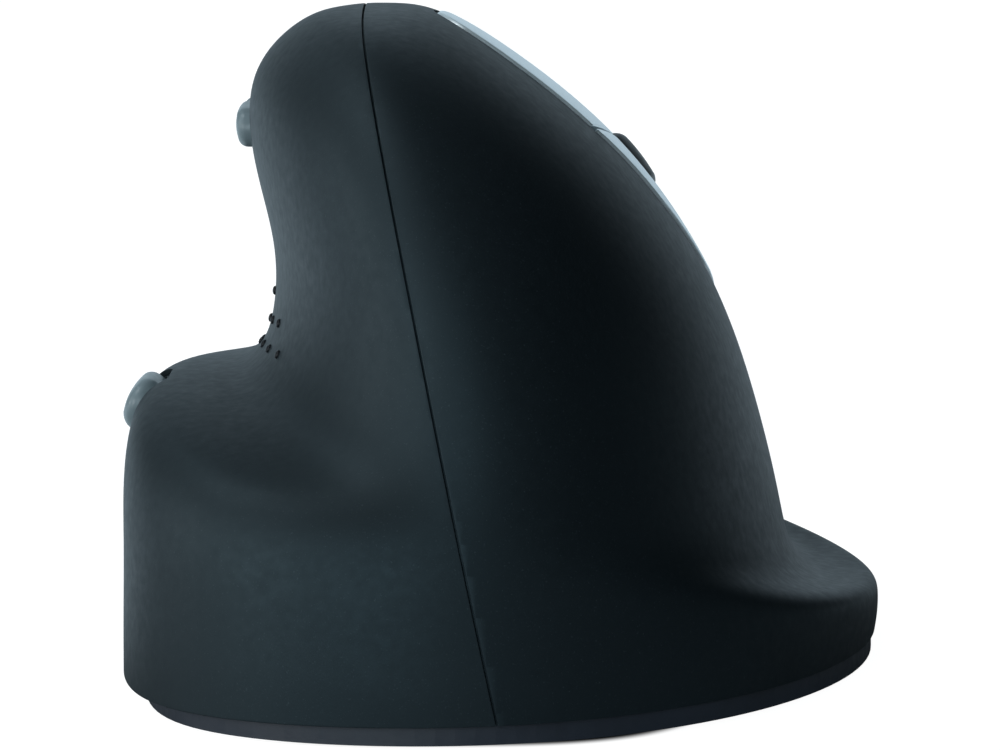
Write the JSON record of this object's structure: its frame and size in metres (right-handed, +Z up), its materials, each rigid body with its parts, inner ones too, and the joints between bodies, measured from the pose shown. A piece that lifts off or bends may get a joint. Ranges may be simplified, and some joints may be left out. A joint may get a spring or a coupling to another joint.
{
  "type": "vertical ergonomic mouse",
  "caption": "Right-handed vertical mouse with a tall sculpted body, a thumb channel, sloped finger buttons beside a scroll wheel, thumb buttons and a sliding battery door.",
  "frame": {"origin": "middle of the footprint, on the desk under the glide feet", "axes": "+X to the right, away from the thumb side; +Y forward from heel to nose; +Z up"},
  "size_m": [0.0838, 0.1152, 0.0725],
  "materials": {
    "shell_soft_touch": "soft-touch charcoal with a fine speckle",
    "palm_soft_touch": "soft-touch charcoal with a fine speckle",
    "base_plastic": "fine moulded texture",
    "slip_plastic": "smooth white slip plastic",
    "black_rubber": "matte rubber",
    "inner_plastic": "plain moulding",
    "switch_plastic": "plain moulding",
    "circuit_board": "green solder mask",
    "clear_lens": "clear",
    "cell_jacket": "plain metallic jacket",
    "steel": "bright",
    "silver_panel": "satin silver with a cool tint",
    "gloss_key": "polished grey"
  },
  "bodies": {
    "housing": {"thumb_shell": "shell_soft_touch", "palm_shell": "palm_soft_touch", "base_plate": "base_plastic", "glide_feet": "slip_plastic", "grip_dots": "black_rubber", "inner_frame": "inner_plastic", "hinge_pin": "steel", "cradle_pin": "steel", "finger_board": "circuit_board", "upper_switch": "switch_plastic", "lower_switch": "switch_plastic", "wheel_switch": "switch_plastic", "thumb_board": "circuit_board", "back_switch": "switch_plastic", "forward_switch": "switch_plastic", "ledge_board": "circuit_board", "ledge_switch": "switch_plastic", "main_board": "circuit_board", "optical_sensor": "switch_plastic", "sensor_lens": "clear_lens", "power_switch": "switch_plastic", "battery_tray": "inner_plastic", "battery_cell": "cell_jacket", "battery_spring": "steel", "battery_contact": "steel", "shell_screws": "steel", "frame_screws": "steel", "board_screws": "steel"},
    "upper_button": {"upper_button": "silver_panel", "upper_rocker": "inner_plastic"},
    "lower_button": {"lower_button": "silver_panel", "lower_rocker": "inner_plastic"},
    "upper_plunger": {"upper_plunger": "slip_plastic"},
    "lower_plunger": {"lower_plunger": "slip_plastic"},
    "wheel_cradle": {"wheel_cradle": "inner_plastic", "wheel_encoder": "switch_plastic"},
    "wheel": {"wheel_hub": "gloss_key", "wheel_tyre": "black_rubber", "wheel_axle": "steel"},
    "back_button": {"back_button": "gloss_key"},
    "forward_button": {"forward_button": "gloss_key"},
    "ledge_button": {"ledge_button": "gloss_key"},
    "power_slider": {"power_slider": "gloss_key"},
    "battery_door": {"battery_door": "base_plastic"}
  },
  "joints": [
    {"name": "upper_press", "type": "hinge", "parent": "housing", "child": "upper_button", "pos_m": [0.00318, -0.00323, 0.05371], "axis": [-0.5974, 0.2419, 0.7646], "range_deg": [0, 1.25], "stiffness_Nm_per_rad": 0.8, "springref_deg": -0.57},
    {"name": "lower_press", "type": "hinge", "parent": "housing", "child": "lower_button", "pos_m": [0.00318, -0.00323, 0.05371], "axis": [-0.5974, 0.2419, 0.7646], "range_deg": [0, 1.25], "stiffness_Nm_per_rad": 0.8, "springref_deg": -0.57},
    {"name": "upper_plunge", "type": "slide", "parent": "housing", "child": "upper_plunger", "axis": [-0.8018, -0.2017, -0.5626], "range_m": [0, 0.0007]},
    {"name": "lower_plunge", "type": "slide", "parent": "housing", "child": "lower_plunger", "axis": [-0.8018, -0.2017, -0.5626], "range_m": [0, 0.0007]},
    {"name": "wheel_click", "type": "hinge", "parent": "housing", "child": "wheel_cradle", "pos_m": [0.00244, 0.0014, 0.04865], "axis": [-0.5974, 0.2419, 0.7646], "range_deg": [0, 2.4], "stiffness_Nm_per_rad": 1, "springref_deg": -0.57},
    {"name": "wheel_spin", "type": "hinge", "parent": "wheel_cradle", "child": "wheel", "pos_m": [0.00694, 0.01875, 0.04668], "axis": [0.5974, -0.2419, -0.7646], "continuous": true},
    {"name": "back_press", "type": "slide", "parent": "housing", "child": "back_button", "axis": [1, 0, 0], "range_m": [0, 0.0007], "stiffness_N_per_m": 900, "springref_m": -0.0005},
    {"name": "forward_press", "type": "slide", "parent": "housing", "child": "forward_button", "axis": [1, 0, 0], "range_m": [0, 0.0007], "stiffness_N_per_m": 900, "springref_m": -0.0005},
    {"name": "ledge_press", "type": "slide", "parent": "housing", "child": "ledge_button", "axis": [0.788, 0, -0.6157], "range_m": [0, 0.0007], "stiffness_N_per_m": 900, "springref_m": -0.0005},
    {"name": "power_slide", "type": "slide", "parent": "housing", "child": "power_slider", "axis": [0, 1, 0], "range_m": [0, 0.002]},
    {"name": "door_slide", "type": "slide", "parent": "housing", "child": "battery_door", "axis": [-1, 0, 0], "range_m": [0, 0.024]}
  ],
  "couplings": [
    {"joint": "upper_plunge", "follows": "upper_press", "m_per_rad": 0.031},
    {"joint": "lower_plunge", "follows": "lower_press", "m_per_rad": 0.031}
  ]
}
